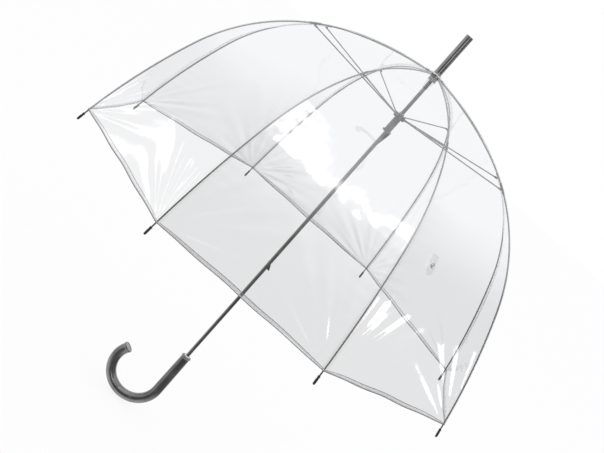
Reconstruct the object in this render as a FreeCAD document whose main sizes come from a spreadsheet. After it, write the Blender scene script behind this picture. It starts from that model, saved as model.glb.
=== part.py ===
import FreeCAD, Part
import math
import os
import re

import Sketcher
from FreeCAD import Placement, Rotation, Vector

# A clear dome umbrella standing open, ferrule up: an eight-rib frame on a steel shaft, a sliding
# runner with eight stretchers, two catches in the shaft, a film canopy of eight gores and a hook
# handle. The origin is on the shaft's axis at the middle of the straight grip, +Z points to the
# ferrule, and the hook turns towards -X. Heights in the sizes below count from the crown, where
# the ferrule meets the canopy.

doc = FreeCAD.newDocument("dome_umbrella")
sheet = doc.addObject("Spreadsheet::Sheet", "sizes")

SIZES = {
    "crown_height": 725.0,
    "rib_count": 8,
    "cut_over": 1.0,
    "shaft_radius": 3.5,
    "shaft_bore": 2.7,
    "shaft_top": 40.0,
    "shaft_bottom": -735.0,
    # ferrule and crown
    "ferrule_radius": 7.0,
    "ferrule_tip": 83.0,
    "ferrule_foot": -0.6,
    "ferrule_chamfer": 0.6,
    "plug_radius": 5.2,
    "plug_depth": 9.0,
    "washer_radius": 12.0,
    "washer_foot": -2.2,
    "patch_radius": 24.0,
    "patch_foot": -3.0,
    "notch_radius": 17.6,
    "notch_top": -3.6,
    "notch_foot": -8.4,
    "notch_slot_floor": 12.8,
    "boss_radius": 8.0,
    "boss_foot": -16.0,
    "slot_width": 2.2,
    # rib: four tangent arcs from the crown wire to the tip
    "rib_start_radius": 16.0,
    "rib_start_height": -6.0,
    "rib_radius": 1.3,
    "rib_slope_start": 6.2,
    "rib_slope_upper": 19.5,
    "rib_slope_knee": 44.0,
    "rib_slope_lower": 66.4,
    "rib_slope_tip": 77.8,
    "rib_length_upper": 150.0,
    "rib_length_knee": 297.0,
    "rib_length_lower": 423.0,
    "rib_length_full": 643.0,
    "rib_neck": 4.0,
    "neck_overlap": 0.4,
    "knee_gap": 0.75,
    "wire_radius": 0.5,
    "eye_radius": 2.0,
    "eye_hole": 0.65,
    "eye_width": 1.6,
    "tip_radius": 2.1,
    "tip_length": 16.0,
    "tip_overlap": 5.0,
    # stretcher and its joint on the rib
    "joint_distance": 217.0,
    "joint_length": 20.0,
    "joint_radius": 1.9,
    "joint_drop": 3.4,
    "lug_radius": 2.0,
    "stretcher_radius": 1.1,
    "stretcher_side": 3.3,
    "stretcher_eye": 1.7,
    "stretcher_eye_width": 1.4,
    "stretcher_neck_past_hub": 2.0,
    "rivet_head": 1.5,
    "rivet_width": 0.8,
    # runner
    "hub_wire_ring": 10.0,
    "hub_wire_radius": 0.4,
    "hub_eye_hole": 0.78,
    "hub_wire_height": -97.0,
    "hub_radius": 11.0,
    "hub_top": -93.0,
    "hub_foot": -101.0,
    "hub_slot_floor": 7.3,
    "hub_slot_depth": 12.0,
    "runner_radius": 6.5,
    "runner_bore": 3.65,
    "runner_foot": -132.0,
    "lip_radius": 8.6,
    "lip_height": 3.4,
    "window_width": 2.6,
    "window_top": -112.5,
    "window_foot": -127.6,
    "stop_radius": 5.2,
    "stop_foot": -92.5,
    "stop_top": -89.5,
    # catches
    "blade_width": 1.2,
    "blade_reach": 8.2,
    "blade_slot": 2.0,
    "slot_head_play": 1.0,
    "slot_foot_play": 0.8,
    "blade_play": 0.4,
    "blade_shoulder": 0.2,
    "blade_back": 0.3,
    "blade_tail": 1.2,
    "blade_toe": 1.6,
    "blade_heel": 4.0,
    "blade_pin_radius": 0.5,
    "blade_pin_side": 1.4,
    "blade_pin_play": 0.1,
    "blade_pin_length": 5.8,
    "top_catch_head": -132.4,
    "top_catch_slope": -165.0,
    "top_catch_pin": -168.0,
    "bottom_catch_head": -457.6,
    "bottom_catch_slope": -443.6,
    "bottom_catch_pin": -429.0,
    # canopy film
    "film_inside": 2.3,
    "film_outside": 2.7,
    "film_start": 4.0,
    "film_seam": 0.15,
    "film_trim": 10.0,
    "hem_distance": 629.0,
    # tie strap, lying on one gore
    "strap_lift": 3.1,
    "strap_width": 16.0,
    "strap_from": 398.0,
    "strap_to": 432.0,
    "strap_side": -68.0,
    "strap_thick": 0.5,
    "snap_radius": 5.0,
    "snap_height": 2.2,
    "snap_gap": 0.35,
    # handle
    "grip_top": -681.0,
    "grip_foot": -769.0,
    "grip_top_radius": 8.8,
    "grip_radius": 9.8,
    "hook_bend": 49.5,
    "hook_angle": 207.0,
    "cap_radius": 10.6,
    "cap_height": 5.0,
    "cap_fillet": 1.2,
    "pin_radius": 1.2,
    "pin_height": -700.0,
}

for row, (alias, value) in enumerate(SIZES.items(), 1):
    sheet.set(f"A{row}", alias)
    sheet.set(f"B{row}", str(value))
    sheet.setAlias(f"B{row}", alias)
doc.recompute()


def size(alias):
    """The number in the cell that has this alias."""
    return float(sheet.get(alias))


PITCH = 360.0 / size("rib_count")
HALF = math.radians(PITCH / 2)
RIB_AZIMUTHS = [PITCH / 2 + PITCH * k for k in range(int(size("rib_count")))]
GORE_AZIMUTHS = [PITCH * k for k in range(int(size("rib_count")))]
subparts = []


def about_axis(azimuth):
    """The place of a piece drawn from the crown, turned about the shaft to this azimuth."""
    return Placement(Vector(0, 0, size("crown_height")), Rotation(Vector(0, 0, 1), azimuth))


def keep(piece, label, azimuth=0.0):
    """Name a finished sub-part and put it in its place on the shaft."""
    piece.Label = label
    piece.Placement = about_axis(azimuth)
    subparts.append(piece)
    return piece


# ---------------------------------------------------------------- sketch and solid helpers


def value_of(expression):
    return float(sheet.evalExpression(expression))


def new_sketch(body, name, role, lift=0.0):
    """A sketch on one of the body's own origin planes."""
    drawn = body.newObject("Sketcher::SketchObject", name)
    plane = next(f for f in body.Origin.OriginFeatures if f.Role == role)
    drawn.AttachmentSupport = (plane, [""])
    drawn.MapMode = "FlatFace"
    drawn.AttachmentOffset = Placement(Vector(0, 0, lift), Rotation())
    return drawn


def bound(drawn, constraint, expression):
    row = drawn.addConstraint(constraint)
    drawn.setExpression(f"Constraints[{row}]", expression)


def corner_text(expression):
    """Aliases in a corner's expression, as the sketch has to name them."""
    return re.sub(r"[a-z]\w*", r"sizes.\g<0>", expression)


def polygon(drawn, corners):
    """A closed outline whose every corner is held at two sheet expressions."""
    points = [Vector(value_of(x), value_of(y), 0) for x, y in corners]
    first = drawn.GeometryCount
    count = len(points)
    for k in range(count):
        drawn.addGeometry(Part.LineSegment(points[k], points[(k + 1) % count]))
    for k in range(count):
        line, after = first + k, first + (k + 1) % count
        drawn.addConstraint(Sketcher.Constraint("Coincident", line, 2, after, 1))
    for k, (x, y) in enumerate(corners):
        at = points[k]
        sideways = Sketcher.Constraint("DistanceX", -1, 1, first + k, 1, at.x)
        upwards = Sketcher.Constraint("DistanceY", -1, 1, first + k, 1, at.y)
        bound(drawn, sideways, corner_text(x))
        bound(drawn, upwards, corner_text(y))


def circle(drawn, radius, x="0", y="0"):
    """A circle whose centre and radius are held at sheet expressions."""
    centre = Vector(value_of(x), value_of(y), 0)
    line = drawn.addGeometry(Part.Circle(centre, Vector(0, 0, 1), value_of(radius)))
    bound(drawn, Sketcher.Constraint("DistanceX", -1, 1, line, 3, centre.x), corner_text(x))
    bound(drawn, Sketcher.Constraint("DistanceY", -1, 1, line, 3, centre.y), corner_text(y))
    bound(drawn, Sketcher.Constraint("Radius", line, value_of(radius)), corner_text(radius))


def turned(label, corners):
    """A body turned about Z from an outline of (radius, height) corners."""
    body = doc.addObject("PartDesign::Body", label)
    drawn = new_sketch(body, label + "_profile", "XZ_Plane")
    polygon(drawn, corners)
    spin = body.newObject("PartDesign::Revolution", label + "_turned")
    spin.Profile = drawn
    spin.ReferenceAxis = (drawn, ["V_Axis"])
    spin.Angle = 360
    return body


def sleeve(label, inner, outer, foot, top):
    return turned(label, [(inner, foot), (outer, foot), (outer, top), (inner, top)])


def cut_through(body, name, role, draw, width=None, lift=0.0):
    """Cut what draw() sketches, right through, or over a width centred on the sketch's plane."""
    drawn = new_sketch(body, name + "_outline", role, lift)
    draw(drawn)
    pocket = body.newObject("PartDesign::Pocket", name)
    pocket.Profile = drawn
    pocket.Midplane = True
    if width:
        pocket.Type = 0
        pocket.setExpression("Length", "sizes." + width)
    else:
        pocket.Type = 1
    return pocket


def around(body, name, feature):
    """Repeat a cut once for each rib."""
    ring = body.newObject("PartDesign::PolarPattern", name)
    ring.Originals = [feature]
    axis = next(f for f in body.Origin.OriginFeatures if f.Role == "Z_Axis")
    ring.Axis = (axis, [""])
    ring.Angle = 360
    ring.setExpression("Occurrences", "sizes.rib_count")
    body.Tip = ring


def turned_cut(body, name, draw):
    drawn = new_sketch(body, name + "_outline", "XZ_Plane")
    draw(drawn)
    groove = body.newObject("PartDesign::Groove", name)
    groove.Profile = drawn
    groove.ReferenceAxis = (drawn, ["V_Axis"])
    groove.Angle = 360


def lying_cylinder(name, radius, width, x, z, y=0.0):
    """A cylinder along Y, centred on y, at x and z."""
    rod = doc.addObject("Part::Cylinder", name)
    rod.setExpression("Radius", radius)
    rod.setExpression("Height", width)
    long = value_of(width)
    rod.Placement = Placement(Vector(x, y + long / 2, z), Rotation(Vector(1, 0, 0), 90))
    return rod


def cut(name, base, tool):
    made = doc.addObject("Part::Cut", name)
    made.Base, made.Tool = base, tool
    return made


def fuse(name, pieces):
    made = doc.addObject("Part::MultiFuse", name)
    made.Shapes = pieces
    return made


def group(name, pieces):
    """Separate solids that share one node."""
    made = doc.addObject("Part::Compound", name)
    made.Links = pieces
    return made


# ---------------------------------------------------------------- the rib's line

SLOPES = ["rib_slope_start", "rib_slope_upper", "rib_slope_knee", "rib_slope_lower",
          "rib_slope_tip"]
LENGTHS = [None, "rib_length_upper", "rib_length_knee", "rib_length_lower", "rib_length_full"]


class Arc:
    """One tangent arc of the rib, from a distance and slope to the next, bending downwards."""

    def __init__(self, start, lengths, slopes):
        self.lengths = lengths
        self.slopes = [math.radians(a) for a in slopes]
        self.radius = (lengths[1] - lengths[0]) / (self.slopes[1] - self.slopes[0])
        first = self.slopes[0]
        self.centre = start - Vector(math.sin(first), 0, math.cos(first)) * self.radius

    def slope(self, distance):
        share = (distance - self.lengths[0]) / (self.lengths[1] - self.lengths[0])
        return self.slopes[0] + share * (self.slopes[1] - self.slopes[0])

    def point(self, distance, lift=0.0):
        """The point at a distance along the rib, lifted outwards from its centre line."""
        a = self.slope(distance)
        return self.centre + Vector(math.sin(a), 0, math.cos(a)) * (self.radius + lift)


def rib_arcs():
    at = Vector(size("rib_start_radius"), 0, size("rib_start_height"))
    lengths = [0.0] + [size(name) for name in LENGTHS[1:]]
    slopes = [size(name) for name in SLOPES]
    arcs = []
    for k in range(len(slopes) - 1):
        arcs.append(Arc(at, lengths[k:k + 2], slopes[k:k + 2]))
        at = arcs[-1].point(lengths[k + 1])
    return arcs


ARCS = rib_arcs()
KNEE = size("rib_length_knee")


def arc_at(distance):
    return next((a for a in ARCS if distance <= a.lengths[1]), ARCS[-1])


def rib_point(distance, lift=0.0):
    return arc_at(distance).point(distance, lift)


def spans(start, end):
    """The arcs between two distances, each with the part of it that lies between them."""
    for arc in ARCS:
        low, high = max(start, arc.lengths[0]), min(end, arc.lengths[1])
        if high - low > 1e-6:
            yield arc, low, high


def bent_rod(name, radius, start, end):
    """A round rod along the rib's line: one torus segment for each arc."""
    rods = []
    for k, (arc, low, high) in enumerate(spans(start, end)):
        rod = doc.addObject("Part::Torus", f"{name}_{k}")
        rod.Radius1 = arc.radius
        rod.setExpression("Radius2", "sizes." + radius)
        rod.Angle3 = math.degrees(arc.slope(high) - arc.slope(low))
        turn = Rotation(Vector(0, -1, 0), 90 - math.degrees(arc.slope(high)))
        rod.Placement = Placement(arc.centre, turn * Rotation(Vector(1, 0, 0), 90))
        rods.append(rod)
    return rods[0] if len(rods) == 1 else fuse(name, rods)


# ---------------------------------------------------------------- shaft, ferrule and crown


def make_shaft():
    tube = sleeve("shaft_tube", "shaft_bore", "shaft_radius", "shaft_bottom", "shaft_top")
    for name, one, other in (
        ("top_slot", "top_catch_head + slot_head_play",
         "top_catch_slope - slot_foot_play"),
        ("bottom_slot", "bottom_catch_slope + slot_foot_play",
         "bottom_catch_head - slot_head_play"),
    ):
        reach = "shaft_radius + cut_over"
        corners = [("0", one), (reach, one), (reach, other), ("0", other)]
        cut_through(tube, name, "XZ_Plane", lambda s, c=corners: polygon(s, c), "blade_slot")
    for name in ("top_catch_pin", "bottom_catch_pin"):
        cut_through(tube, name + "_hole", "XZ_Plane",
                    lambda s, n=name: circle(s, "blade_pin_radius", "blade_pin_side", n))
    cut_through(tube, "grip_pin_hole", "XZ_Plane",
                lambda s: circle(s, "pin_radius", "0", "pin_height"))
    keep(tube, "shaft_tube")


def make_ferrule():
    edge, tip = "ferrule_radius - ferrule_chamfer", "ferrule_tip - ferrule_chamfer"
    seat = "ferrule_tip - plug_depth"
    ferrule = turned("ferrule", [
        ("shaft_radius", "ferrule_foot"), ("ferrule_radius", "ferrule_foot"),
        ("ferrule_radius", tip), (edge, "ferrule_tip"), ("plug_radius", "ferrule_tip"),
        ("plug_radius", seat), ("0", seat), ("0", "shaft_top"), ("shaft_radius", "shaft_top")])
    keep(ferrule, "ferrule")
    keep(sleeve("ferrule_plug", "0", "plug_radius", seat, "ferrule_tip"), "ferrule_plug")


def make_crown():
    keep(sleeve("crown_washer", "shaft_radius", "washer_radius", "washer_foot",
                "ferrule_foot"), "crown_washer")
    keep(sleeve("crown_patch", "shaft_radius", "patch_radius", "patch_foot",
                "washer_foot"), "crown_patch")
    notch = turned("crown_notch", [
        ("shaft_radius", "notch_top"), ("shaft_radius", "boss_foot"),
        ("boss_radius", "boss_foot"), ("boss_radius", "notch_foot"),
        ("notch_radius", "notch_foot"), ("notch_radius", "notch_top")])
    turned_cut(notch, "wire_channel",
               lambda s: circle(s, "wire_radius", "rib_start_radius", "rib_start_height"))
    far = "notch_radius + 2 * cut_over"
    corners = [("notch_slot_floor", "-slot_width / 2"), (far, "-slot_width / 2"),
               (far, "slot_width / 2"), ("notch_slot_floor", "slot_width / 2")]
    slot = cut_through(notch, "rib_slot", "XY_Plane", lambda s: polygon(s, corners))
    around(notch, "rib_slots", slot)
    keep(notch, "crown_notch", RIB_AZIMUTHS[0])
    wire = doc.addObject("Part::Torus", "crown_wire_ring")
    wire.setExpression("Radius1", "sizes.rib_start_radius")
    wire.setExpression("Radius2", "sizes.wire_radius")
    wire.Placement.Base = Vector(0, 0, size("rib_start_height"))
    keep(group("crown_wire", [wire]), "crown_wire")


# ---------------------------------------------------------------- runner and catches


def make_runner():
    lip = "runner_foot + lip_height"
    runner = turned("runner", [
        ("runner_bore", "runner_foot"), ("lip_radius", "runner_foot"), ("lip_radius", lip),
        ("runner_radius", lip), ("runner_radius", "hub_foot"), ("hub_radius", "hub_foot"),
        ("hub_radius", "hub_top"), ("runner_bore", "hub_top")])
    turned_cut(runner, "wire_channel",
               lambda s: circle(s, "hub_wire_radius", "hub_wire_ring", "hub_wire_height"))
    reach = "lip_radius + cut_over"
    window = [("0", "window_top"), (reach, "window_top"), (reach, "window_foot"),
              ("0", "window_foot")]
    cut_through(runner, "window", "XZ_Plane", lambda s: polygon(s, window), "window_width")
    corners = stretcher_slot_corners()
    slot = cut_through(runner, "stretcher_slot", "XY_Plane",
                       lambda s: turned_polygon(s, corners, RIB_AZIMUTHS[0]),
                       "hub_slot_depth", lift=size("hub_wire_height"))
    around(runner, "stretcher_slots", slot)
    keep(runner, "runner")
    wire = doc.addObject("Part::Torus", "runner_wire_ring")
    wire.setExpression("Radius1", "sizes.hub_wire_ring")
    wire.setExpression("Radius2", "sizes.hub_wire_radius")
    wire.Placement.Base = Vector(0, 0, size("hub_wire_height"))
    keep(group("runner_wire", [wire]), "runner_wire")
    keep(sleeve("runner_stop", "shaft_radius", "stop_radius", "stop_foot", "stop_top"),
         "runner_stop")


def stretcher_slot_corners():
    """The slot that one stretcher swings in, beside its rib's plane."""
    low = size("stretcher_side") - size("slot_width") / 2
    high = size("stretcher_side") + size("slot_width") / 2
    near, far = size("hub_slot_floor"), size("hub_radius") + 2 * size("cut_over")
    return [(near, low), (far, low), (far, high), (near, high)]


def turned_polygon(drawn, corners, azimuth):
    """A closed outline turned about the shaft."""
    turn = Rotation(Vector(0, 0, 1), azimuth)
    points = [turn.multVec(Vector(x, y, 0)) for x, y in corners]
    for k, point in enumerate(points):
        drawn.addGeometry(Part.LineSegment(point, points[(k + 1) % len(points)]))


def make_catch(label, pin, corners):
    """A flat blade in the shaft that swings on its pin, its head standing out on +X."""
    body = doc.addObject("PartDesign::Body", label)
    drawn = new_sketch(body, label + "_side", "XZ_Plane")
    polygon(drawn, corners)
    pad = body.newObject("PartDesign::Pad", label + "_blade")
    pad.Profile = drawn
    pad.Midplane = True
    pad.setExpression("Length", "sizes.blade_width")
    hole = "blade_pin_radius + blade_pin_play"
    cut_through(body, label + "_pivot", "XZ_Plane",
                lambda s: circle(s, hole, "blade_pin_side", pin))
    keep(body, label)


def make_catches():
    inside, back = "shaft_bore - blade_play", "blade_back"
    for label, out, home in (("top_catch", "-", "+"), ("bottom_catch", "+", "-")):
        head, slope, pin = (f"{label}_{part}" for part in ("head", "slope", "pin"))
        tail, toe = f"{pin} {out} blade_tail", f"{head} {out} blade_toe"
        heel = f"{pin} {home} blade_heel"
        make_catch(label, pin, [
            (back, tail), (inside, tail), (inside, slope), ("blade_reach", toe),
            ("blade_reach", head), ("shaft_bore + blade_shoulder", head), (back, heel)])
    pins = [lying_cylinder(name + "_rod", "sizes.blade_pin_radius", "sizes.blade_pin_length",
                           size("blade_pin_side"), size(name))
            for name in ("top_catch_pin", "bottom_catch_pin")]
    keep(group("catch_pins", pins), "catch_pins")


# ---------------------------------------------------------------- ribs and stretchers


def rib_inner(number):
    """The span from the crown wire to the knee, with the fitting that the stretcher pushes."""
    name = f"rib_{number}_inner"
    pivot = rib_point(0)
    eye = lying_cylinder(name + "_eye", "sizes.eye_radius", "sizes.eye_width", pivot.x, pivot.z)
    neck = doc.addObject("Part::Box", name + "_neck")
    neck.setExpression("Length", "sizes.rib_neck + sizes.neck_overlap")
    neck.setExpression("Width", "sizes.eye_width")
    neck.setExpression("Height", "sizes.rib_radius * 2")
    tilt = Rotation(Vector(0, 1, 0), size("rib_slope_start"))
    corner = Vector(0, -size("eye_width") / 2, -size("rib_radius"))
    neck.Placement = Placement(pivot + tilt.multVec(corner), tilt)
    rod = bent_rod(name + "_rod", "rib_radius", size("rib_neck"), KNEE - size("knee_gap"))
    hole = lying_cylinder(name + "_hole", "sizes.eye_hole", "sizes.eye_width + sizes.cut_over",
                          pivot.x, pivot.z)
    steel = cut(name + "_steel", fuse(name + "_bar", [eye, neck, rod]), hole)
    return group(name, [steel, joint_fitting(name)])


def joint_fitting(name):
    """The clip on the rib, with a lug below it for the stretcher's rivet."""
    middle, half = size("joint_distance"), size("joint_length") / 2
    shell = bent_rod(name + "_clip", "joint_radius", middle - half, middle + half)
    past = half + 2 * size("cut_over")
    core = bent_rod(name + "_core", "rib_radius", middle - past, middle + past)
    at, lug = rib_point(middle), joint_pivot()
    plate = lying_cylinder(name + "_lug", "sizes.lug_radius", "sizes.joint_radius * 2",
                           lug.x, lug.z)
    neck = doc.addObject("Part::Box", name + "_web")
    neck.setExpression("Length", "sizes.lug_radius * 2")
    neck.setExpression("Width", "sizes.joint_radius * 2")
    neck.setExpression("Height", "sizes.joint_drop")
    tilt = Rotation(Vector(0, 1, 0), math.degrees(arc_at(middle).slope(middle)))
    corner = Vector(-size("lug_radius"), -size("joint_radius"), -size("joint_drop"))
    neck.Placement = Placement(at + tilt.multVec(corner), tilt)
    body = fuse(name + "_joint", [shell, plate, neck])
    return cut(name + "_fitting", body, core)


def joint_pivot():
    """Where the stretcher's rivet is, in the rib's plane."""
    return rib_point(size("joint_distance"), -size("joint_drop"))


def rib_outer(number):
    """The span from the knee to the tip, with the cap on its end."""
    name = f"rib_{number}_outer"
    full = size("rib_length_full")
    rod = bent_rod(name + "_rod", "rib_radius", KNEE + size("knee_gap"), full)
    cap = doc.addObject("Part::Cylinder", name + "_cap")
    cap.setExpression("Radius", "sizes.tip_radius")
    cap.setExpression("Height", "sizes.tip_length - sizes.tip_radius")
    end = doc.addObject("Part::Sphere", name + "_end")
    end.setExpression("Radius", "sizes.tip_radius")
    arc = ARCS[-1]
    slope = arc.slopes[1]
    along = Vector(math.cos(slope), 0, -math.sin(slope))
    foot = arc.point(full) - along * size("tip_overlap")
    turn = Rotation(Vector(0, 0, 1), along)
    cap.Placement = Placement(foot, turn)
    end.Placement = Placement(foot + along * (size("tip_length") - size("tip_radius")), turn)
    start = full - size("tip_overlap") - 2 * size("cut_over")
    core = bent_rod(name + "_core", "rib_radius", start, full)
    tip = cut(name + "_tip", fuse(name + "_nose", [cap, end]), core)
    return group(name, [rod, tip])


def stretcher(number):
    """A straight rod beside the rib's plane, from the runner's wire to the rivet at the rib."""
    name = f"stretcher_{number}"
    side = size("stretcher_side")
    ring = size("hub_wire_ring")
    near = Vector(math.sqrt(ring ** 2 - side ** 2), side, size("hub_wire_height"))
    far = joint_pivot() + Vector(0, side, 0)
    reach = far - near
    rod = doc.addObject("Part::Cylinder", name + "_rod")
    rod.setExpression("Radius", "sizes.stretcher_radius")
    past = size("hub_radius") - ring + size("stretcher_neck_past_hub")
    gap = Vector(reach).normalize() * past
    rod.Height = reach.Length - gap.Length
    rod.Placement = Placement(near + gap, Rotation(Vector(0, 0, 1), reach))
    neck = doc.addObject("Part::Box", name + "_neck")
    neck.Length = gap.Length + size("cut_over")
    neck.setExpression("Width", "sizes.stretcher_eye_width")
    neck.setExpression("Height", "sizes.stretcher_radius * 2")
    tilt = Rotation(Vector(0, 1, 0), -math.degrees(math.atan2(reach.z, reach.x)))
    corner = Vector(0, -size("stretcher_eye_width") / 2, -size("stretcher_radius"))
    neck.Placement = Placement(near + tilt.multVec(corner), tilt)
    eyes = [lying_cylinder(f"{name}_eye_{k}", "sizes.stretcher_eye",
                           "sizes.stretcher_eye_width", at.x, at.z, side)
            for k, at in enumerate((near, far))]
    hole = lying_cylinder(name + "_hole", "sizes.hub_eye_hole",
                          "sizes.stretcher_eye_width + sizes.cut_over", near.x, near.z, side)
    head_side = side + (size("stretcher_eye_width") + size("rivet_width")) / 2
    head = lying_cylinder(name + "_rivet", "sizes.rivet_head", "sizes.rivet_width",
                          far.x, far.z, head_side)
    bar = cut(name + "_bar", fuse(name + "_steel", [rod, neck, *eyes]), hole)
    return group(name, [fuse(name + "_riveted", [bar, head])])


def make_frame():
    for number, azimuth in enumerate(RIB_AZIMUTHS, 1):
        keep(rib_inner(number), f"rib_{number}_inner", azimuth)
        keep(rib_outer(number), f"rib_{number}_outer", azimuth)
        keep(stretcher(number), f"stretcher_{number}", azimuth)


# ---------------------------------------------------------------- canopy film


def film_edge(arc, low, high, lift):
    """A stretch of the film's line half way between two ribs. The film is flat from rib to rib,
    so the rib's arc shrinks towards the shaft there and becomes an arc of an ellipse."""
    share = math.cos(HALF)
    radius = arc.radius + lift
    centre = Vector(arc.centre.x * share, arc.centre.z, 0)
    top, side = centre + Vector(0, radius, 0), centre - Vector(radius * share, 0, 0)
    return Part.ArcOfEllipse(Part.Ellipse(top, side, centre), -arc.slope(high), -arc.slope(low))


def film_point(distance, lift):
    at = rib_point(distance, lift)
    return Vector(at.x * math.cos(HALF), at.z, 0)


def film_strip(drawn, start, end, inside, outside):
    """The closed section of a film band in its middle plane."""
    for arc, low, high in spans(start, end):
        drawn.addGeometry(film_edge(arc, low, high, inside))
        drawn.addGeometry(film_edge(arc, low, high, outside))
    for at in (start, end):
        line = Part.LineSegment(film_point(at, inside), film_point(at, outside))
        drawn.addGeometry(line)


def wedge_outlines(drawn):
    """What lies outside the two ribs' planes, less half a seam."""
    far = 2 * size("rib_length_full")
    slack = size("film_seam") / math.cos(HALF)
    for side in (1, -1):
        points = [Vector(0, -side * slack, 0), Vector(far, side * (far * math.tan(HALF) - slack)),
                  Vector(far, side * 2 * far, 0), Vector(0, side * 2 * far, 0)]
        for k, point in enumerate(points):
            drawn.addGeometry(Part.LineSegment(point, points[(k + 1) % len(points)]))


def film_band(label, start, end):
    """One band of a gore: a thin bent strip, as wide as the ribs' planes leave it."""
    body = doc.addObject("PartDesign::Body", label)
    drawn = new_sketch(body, label + "_section", "XZ_Plane")
    film_strip(drawn, start, end, size("film_inside"), size("film_outside"))
    pad = body.newObject("PartDesign::Pad", label + "_film")
    pad.Profile = drawn
    pad.Midplane = True
    pad.Length = 2 * (rib_point(end).x + size("film_trim")) * math.sin(HALF)
    cut_through(body, label + "_edges", "XY_Plane", wedge_outlines)
    return body


def make_canopy():
    seam = size("film_seam")
    for number, azimuth in enumerate(GORE_AZIMUTHS, 1):
        upper, lower = f"gore_{number}_upper", f"gore_{number}_lower"
        keep(film_band(upper, size("film_start"), KNEE - seam), upper, azimuth)
        keep(film_band(lower, KNEE + seam, size("hem_distance")), lower, azimuth)


def make_strap():
    """The tie strap, lying on the gore between the seventh and eighth ribs, and its snap."""
    body = doc.addObject("PartDesign::Body", "tie_strap")
    drawn = new_sketch(body, "strap_section", "XZ_Plane")
    lift, thick = size("strap_lift"), size("strap_thick")
    film_strip(drawn, size("strap_from"), size("strap_to"), lift, lift + thick)
    pad = body.newObject("PartDesign::Pad", "strap_film")
    pad.Profile = drawn
    pad.Midplane = True
    pad.setExpression("Length", "sizes.strap_width")
    azimuth = GORE_AZIMUTHS[-1]
    keep(body, "tie_strap", azimuth)
    aside = Rotation(Vector(0, 0, 1), azimuth).multVec(Vector(0, size("strap_side"), 0))
    body.Placement.Base = body.Placement.Base + aside
    middle = (size("strap_from") + size("strap_to")) / 2
    snap = doc.addObject("Part::Cylinder", "snap_button")
    snap.setExpression("Radius", "sizes.snap_radius")
    snap.setExpression("Height", "sizes.snap_height")
    rise = lift + thick + size("snap_gap")
    foot, top = film_point(middle, rise), film_point(middle, rise + 1)
    outward = Vector(top.x - foot.x, 0, top.y - foot.y)
    snap.Placement = Placement(Vector(foot.x, size("strap_side"), foot.y),
                               Rotation(Vector(0, 0, 1), outward))
    keep(group("strap_snap", [snap]), "strap_snap", azimuth)


# ---------------------------------------------------------------- handle


def make_handle():
    body = turned("handle", [
        ("0", "grip_foot"), ("grip_radius", "grip_foot"), ("grip_top_radius", "grip_top"),
        ("0", "grip_top")])
    path = new_sketch(body, "hook_path", "XZ_Plane")
    bend, angle = size("hook_bend"), size("hook_angle")
    centre = Vector(-bend, size("grip_foot"), 0)
    round_path = Part.Circle(centre, Vector(0, 0, 1), bend)
    path.addGeometry(Part.ArcOfCircle(round_path, -math.radians(angle), 0))
    section = new_sketch(body, "hook_section", "XY_Plane", lift=size("grip_foot"))
    circle(section, "grip_radius")
    hook = body.newObject("PartDesign::AdditivePipe", "hook")
    hook.Profile = section
    hook.Spine = (path, ["Edge1"])
    bore = [("0", "shaft_bottom"), ("shaft_radius", "shaft_bottom"),
            ("shaft_radius", "grip_top + cut_over"), ("0", "grip_top + cut_over")]
    turned_cut(body, "shaft_socket", lambda s: polygon(s, bore))
    cut_through(body, "grip_pin_hole", "XZ_Plane",
                lambda s: circle(s, "pin_radius", "0", "pin_height"))
    keep(body, "handle")
    pin = lying_cylinder("grip_pin", "sizes.pin_radius", "sizes.grip_top_radius * 2",
                         0, size("pin_height"))
    keep(group("handle_pin", [pin]), "handle_pin")
    end = -math.radians(angle)
    foot = Vector(-bend + bend * math.cos(end), 0, size("grip_foot") + bend * math.sin(end))
    onward = Vector(math.sin(end), 0, -math.cos(end))
    cap = doc.addObject("Part::Cylinder", "hook_cap")
    cap.setExpression("Radius", "sizes.cap_radius")
    cap.setExpression("Height", "sizes.cap_height")
    cap.Placement = Placement(foot, Rotation(Vector(0, 0, 1), onward))
    rounded = doc.addObject("Part::Fillet", "hook_cap_rounded")
    rounded.Base = cap
    fillet = size("cap_fillet")
    rounded.Edges = [(1, fillet, fillet), (3, fillet, fillet)]
    keep(group("handle_end_cap", [rounded]), "handle_end_cap")


# ---------------------------------------------------------------- build, check and write


def check():
    doc.recompute()
    for piece in doc.Objects:
        if "Invalid" in piece.State or "Error" in piece.State:
            raise SystemExit(f"{piece.Label} failed: {piece.State}")
    for piece in subparts:
        if piece.Shape.isNull() or not piece.Shape.isValid() or not piece.Shape.Solids:
            raise SystemExit(f"{piece.Label} has no valid solid")


def write():
    os.makedirs("parts", exist_ok=True)
    for piece in subparts:
        piece.Shape.exportStep(f"parts/{piece.Label}.step")
        print(f"{piece.Label}: {piece.Shape.Volume:.0f} mm3 in {len(piece.Shape.Solids)} solids")
    print(len(subparts), "nodes")


make_shaft()
make_ferrule()
make_crown()
make_runner()
make_catches()
make_frame()
make_canopy()
make_strap()
make_handle()
check()
write()
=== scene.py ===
# %% [markdown]
# # A clear dome umbrella
# The umbrella stands open on its shaft with the ferrule up. A thin clear film is stretched over
# eight steel ribs. A runner slides on the shaft and eight stretchers hold the ribs out. The hard
# skeleton comes from the engineering model; here each piece gets its visible surface, and the
# folding joints of that model carry every surface along.

# %% Load the frame
import math

import bmesh
import bpy
import numpy as np
from mathutils import Matrix, Vector


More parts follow.
